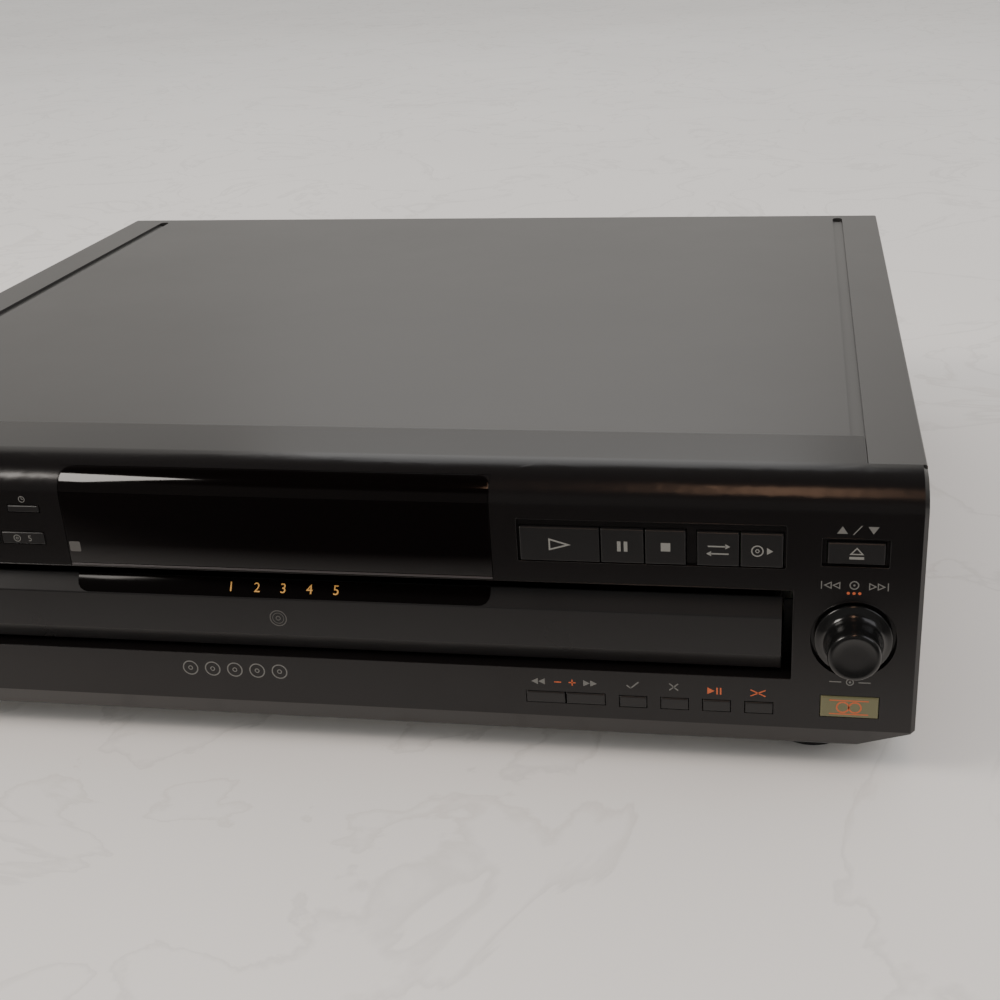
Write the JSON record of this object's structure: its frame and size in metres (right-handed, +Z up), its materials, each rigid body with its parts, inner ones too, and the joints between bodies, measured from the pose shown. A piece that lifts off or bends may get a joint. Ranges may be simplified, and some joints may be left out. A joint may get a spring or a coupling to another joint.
{
  "type": "multi disc cd changer",
  "caption": "Front-loading compact disc changer with a wide sliding drawer, a turning table of disc wells, a rising reading unit, push keys and a push dial.",
  "frame": {"origin": "centre of the footprint on the surface the feet stand on", "axes": "+X to the right seen from the front, +Y to the back, +Z up; the drawer opens along -Y"},
  "size_m": [0.43, 0.39, 0.11],
  "materials": {
    "cover_paint": "fine satin paint on steel",
    "zinc_steel": "zinc-plated sheet",
    "rear_paint": "satin paint on steel",
    "foot_plastic": "moulded",
    "panel_plastic": "satin black moulding",
    "smoked_window": "smoked acrylic",
    "tube_glass": "clear glass",
    "board_laminate": "printed circuit board",
    "drawer_plastic": "satin black moulding",
    "tray_plastic": "fine-grained black moulding",
    "dial_plastic": "semi-gloss black",
    "deck_plastic": "moulded",
    "gear_nylon": "natural acetal",
    "motor_steel": "drawn steel can",
    "belt_rubber": "square rubber belt",
    "shaft_steel": "ground steel",
    "clamp_plastic": "moulded",
    "pickup_body": "glass-filled moulding",
    "core_steel": "varnished laminations",
    "jack_plastic": "moulded",
    "lit_key": "translucent, pale gold",
    "key_plastic": "satin black moulding"
  },
  "bodies": {
    "case": {"top_cover": "cover_paint", "bottom_chassis": "zinc_steel", "rear_panel": "rear_paint", "feet": "foot_plastic", "front_panel": "panel_plastic", "display_window": "smoked_window", "display_tube": "tube_glass", "front_board": "board_laminate", "mech_deck": "deck_plastic", "clamp_bridge": "zinc_steel", "loading_motor": "motor_steel", "loading_belt": "belt_rubber", "main_board": "board_laminate", "transformer": "core_steel", "jack_block": "jack_plastic", "mains_gland": "jack_plastic", "case_screws": "shaft_steel"},
    "drawer": {"tray": "tray_plastic", "tray_front": "drawer_plastic", "table_motor": "motor_steel"},
    "table": {"carousel": "tray_plastic", "carousel_cap": "tray_plastic"},
    "table_gear": {"table_gear": "gear_nylon"},
    "loading_gear": {"loading_gear": "gear_nylon"},
    "motor_pulley": {"motor_pulley": "gear_nylon"},
    "reading_unit": {"pickup_frame": "deck_plastic", "guide_rods": "shaft_steel", "spindle_motor": "motor_steel", "sled_motor": "motor_steel"},
    "lift_slider": {"lift_slider": "deck_plastic"},
    "turntable": {"turntable": "clamp_plastic"},
    "pickup": {"pickup": "pickup_body"},
    "sled_gear": {"sled_gear": "gear_nylon"},
    "clamper": {"clamper": "clamp_plastic"},
    "jog_shaft": {"jog_shaft": "shaft_steel"},
    "jog_dial": {"jog_dial": "dial_plastic"},
    "check_key": {"check_key": "key_plastic"},
    "clear_key": {"clear_key": "key_plastic"},
    "continue_key": {"continue_key": "key_plastic"},
    "disc_1_key": {"disc_1_key": "key_plastic"},
    "disc_2_key": {"disc_2_key": "key_plastic"},
    "disc_3_key": {"disc_3_key": "key_plastic"},
    "disc_4_key": {"disc_4_key": "key_plastic"},
    "disc_5_key": {"disc_5_key": "key_plastic"},
    "disc_skip_key": {"disc_skip_key": "key_plastic"},
    "exchange_key": {"exchange_key": "key_plastic"},
    "forward_key": {"forward_key": "key_plastic"},
    "link_key": {"link_key": "lit_key"},
    "no_delay_key": {"no_delay_key": "key_plastic"},
    "open_close_key": {"open_close_key": "key_plastic"},
    "pause_key": {"pause_key": "key_plastic"},
    "play_key": {"play_key": "key_plastic"},
    "power_key": {"power_key": "key_plastic"},
    "program_key": {"program_key": "key_plastic"},
    "repeat_key": {"repeat_key": "key_plastic"},
    "rewind_key": {"rewind_key": "key_plastic"},
    "shuffle_key": {"shuffle_key": "key_plastic"},
    "stop_key": {"stop_key": "key_plastic"},
    "time_key": {"time_key": "key_plastic"},
    "x_fade_key": {"x_fade_key": "key_plastic"}
  },
  "joints": [
    {"name": "drawer_slide", "type": "slide", "parent": "case", "child": "drawer", "axis": [0, -1, 0], "range_m": [0, 0.19]},
    {"name": "table_turn", "type": "hinge", "parent": "drawer", "child": "table", "pos_m": [0, -0.008, 0.05], "axis": [0, 0, 1], "continuous": true},
    {"name": "unit_lift", "type": "slide", "parent": "case", "child": "reading_unit", "axis": [0, 0, 1], "range_m": [0, 0.0225]},
    {"name": "slider_shift", "type": "slide", "parent": "case", "child": "lift_slider", "axis": [0, 1, 0], "range_m": [0, 0.032]},
    {"name": "turntable_spin", "type": "hinge", "parent": "reading_unit", "child": "turntable", "pos_m": [0, 0.096, 0.035], "axis": [0, 0, 1], "continuous": true},
    {"name": "pickup_travel", "type": "slide", "parent": "reading_unit", "child": "pickup", "axis": [0, 1, 0], "range_m": [0, 0.035]},
    {"name": "clamper_spin", "type": "hinge", "parent": "case", "child": "clamper", "pos_m": [0, 0.096, 0.065], "axis": [0, 0, 1], "continuous": true},
    {"name": "dial_push", "type": "slide", "parent": "case", "child": "jog_shaft", "axis": [0, 1, 0], "range_m": [0, 0.001], "stiffness_N_per_m": 400},
    {"name": "dial_turn", "type": "hinge", "parent": "jog_shaft", "child": "jog_dial", "pos_m": [0.1935, -0.19, 0.0545], "axis": [0, -1, 0], "continuous": true},
    {"name": "loading_gear_turn", "type": "hinge", "parent": "case", "child": "loading_gear", "pos_m": [0.17795, -0.14, 0.05], "axis": [0, 0, 1], "range_deg": [0, 1212]},
    {"name": "motor_pulley_turn", "type": "hinge", "parent": "case", "child": "motor_pulley", "pos_m": [0.198, -0.105, 0.03], "axis": [0, 0, 1], "range_deg": [0, 4360]},
    {"name": "table_gear_turn", "type": "hinge", "parent": "drawer", "child": "table_gear", "pos_m": [0.07281, 0.0449, 0.049], "axis": [0, 0, 1], "continuous": true},
    {"name": "sled_gear_turn", "type": "hinge", "parent": "reading_unit", "child": "sled_gear", "pos_m": [0.036, 0.136, 0.027], "axis": [0, 0, 1], "range_deg": [-252, 0]},
    {"name": "play_press", "type": "slide", "parent": "case", "child": "play_key", "axis": [0, 1, 0], "range_m": [0, 0.001], "stiffness_N_per_m": 300},
    {"name": "open_close_press", "type": "slide", "parent": "case", "child": "open_close_key", "axis": [0, 1, 0], "range_m": [0, 0.001], "stiffness_N_per_m": 300},
    {"name": "power_press", "type": "slide", "parent": "case", "child": "power_key", "axis": [0, 1, 0], "range_m": [0, 0.001], "stiffness_N_per_m": 300},
    {"name": "link_press", "type": "slide", "parent": "case", "child": "link_key", "axis": [0, 1, 0], "range_m": [0, 0.001], "stiffness_N_per_m": 300},
    {"name": "check_press", "type": "slide", "parent": "case", "child": "check_key", "axis": [0, 1, 0], "range_m": [0, 0.001], "stiffness_N_per_m": 300},
    {"name": "clear_press", "type": "slide", "parent": "case", "child": "clear_key", "axis": [0, 1, 0], "range_m": [0, 0.001], "stiffness_N_per_m": 300},
    {"name": "continue_press", "type": "slide", "parent": "case", "child": "continue_key", "axis": [0, 1, 0], "range_m": [0, 0.001], "stiffness_N_per_m": 300},
    {"name": "disc_1_press", "type": "slide", "parent": "case", "child": "disc_1_key", "axis": [0, 1, 0], "range_m": [0, 0.001], "stiffness_N_per_m": 300},
    {"name": "disc_2_press", "type": "slide", "parent": "case", "child": "disc_2_key", "axis": [0, 1, 0], "range_m": [0, 0.001], "stiffness_N_per_m": 300},
    {"name": "disc_3_press", "type": "slide", "parent": "case", "child": "disc_3_key", "axis": [0, 1, 0], "range_m": [0, 0.001], "stiffness_N_per_m": 300},
    {"name": "disc_4_press", "type": "slide", "parent": "case", "child": "disc_4_key", "axis": [0, 1, 0], "range_m": [0, 0.001], "stiffness_N_per_m": 300},
    {"name": "disc_5_press", "type": "slide", "parent": "case", "child": "disc_5_key", "axis": [0, 1, 0], "range_m": [0, 0.001], "stiffness_N_per_m": 300},
    {"name": "disc_skip_press", "type": "slide", "parent": "case", "child": "disc_skip_key", "axis": [0, 1, 0], "range_m": [0, 0.001], "stiffness_N_per_m": 300},
    {"name": "exchange_press", "type": "slide", "parent": "case", "child": "exchange_key", "axis": [0, 1, 0], "range_m": [0, 0.001], "stiffness_N_per_m": 300},
    {"name": "forward_press", "type": "slide", "parent": "case", "child": "forward_key", "axis": [0, 1, 0], "range_m": [0, 0.001], "stiffness_N_per_m": 300},
    {"name": "no_delay_press", "type": "slide", "parent": "case", "child": "no_delay_key", "axis": [0, 1, 0], "range_m": [0, 0.001], "stiffness_N_per_m": 300},
    {"name": "pause_press", "type": "slide", "parent": "case", "child": "pause_key", "axis": [0, 1, 0], "range_m": [0, 0.001], "stiffness_N_per_m": 300},
    {"name": "program_press", "type": "slide", "parent": "case", "child": "program_key", "axis": [0, 1, 0], "range_m": [0, 0.001], "stiffness_N_per_m": 300},
    {"name": "repeat_press", "type": "slide", "parent": "case", "child": "repeat_key", "axis": [0, 1, 0], "range_m": [0, 0.001], "stiffness_N_per_m": 300},
    {"name": "rewind_press", "type": "slide", "parent": "case", "child": "rewind_key", "axis": [0, 1, 0], "range_m": [0, 0.001], "stiffness_N_per_m": 300},
    {"name": "shuffle_press", "type": "slide", "parent": "case", "child": "shuffle_key", "axis": [0, 1, 0], "range_m": [0, 0.001], "stiffness_N_per_m": 300},
    {"name": "stop_press", "type": "slide", "parent": "case", "child": "stop_key", "axis": [0, 1, 0], "range_m": [0, 0.001], "stiffness_N_per_m": 300},
    {"name": "time_press", "type": "slide", "parent": "case", "child": "time_key", "axis": [0, 1, 0], "range_m": [0, 0.001], "stiffness_N_per_m": 300},
    {"name": "x_fade_press", "type": "slide", "parent": "case", "child": "x_fade_key", "axis": [0, 1, 0], "range_m": [0, 0.001], "stiffness_N_per_m": 300}
  ],
  "couplings": [
    {"joint": "table_gear_turn", "follows": "table_turn", "ratio": -8},
    {"joint": "loading_gear_turn", "follows": "drawer_slide", "rad_per_m": 111.11},
    {"joint": "motor_pulley_turn", "follows": "drawer_slide", "rad_per_m": 400},
    {"joint": "slider_shift", "follows": "unit_lift", "ratio": 1.4222},
    {"joint": "sled_gear_turn", "follows": "pickup_travel", "rad_per_m": -125}
  ]
}
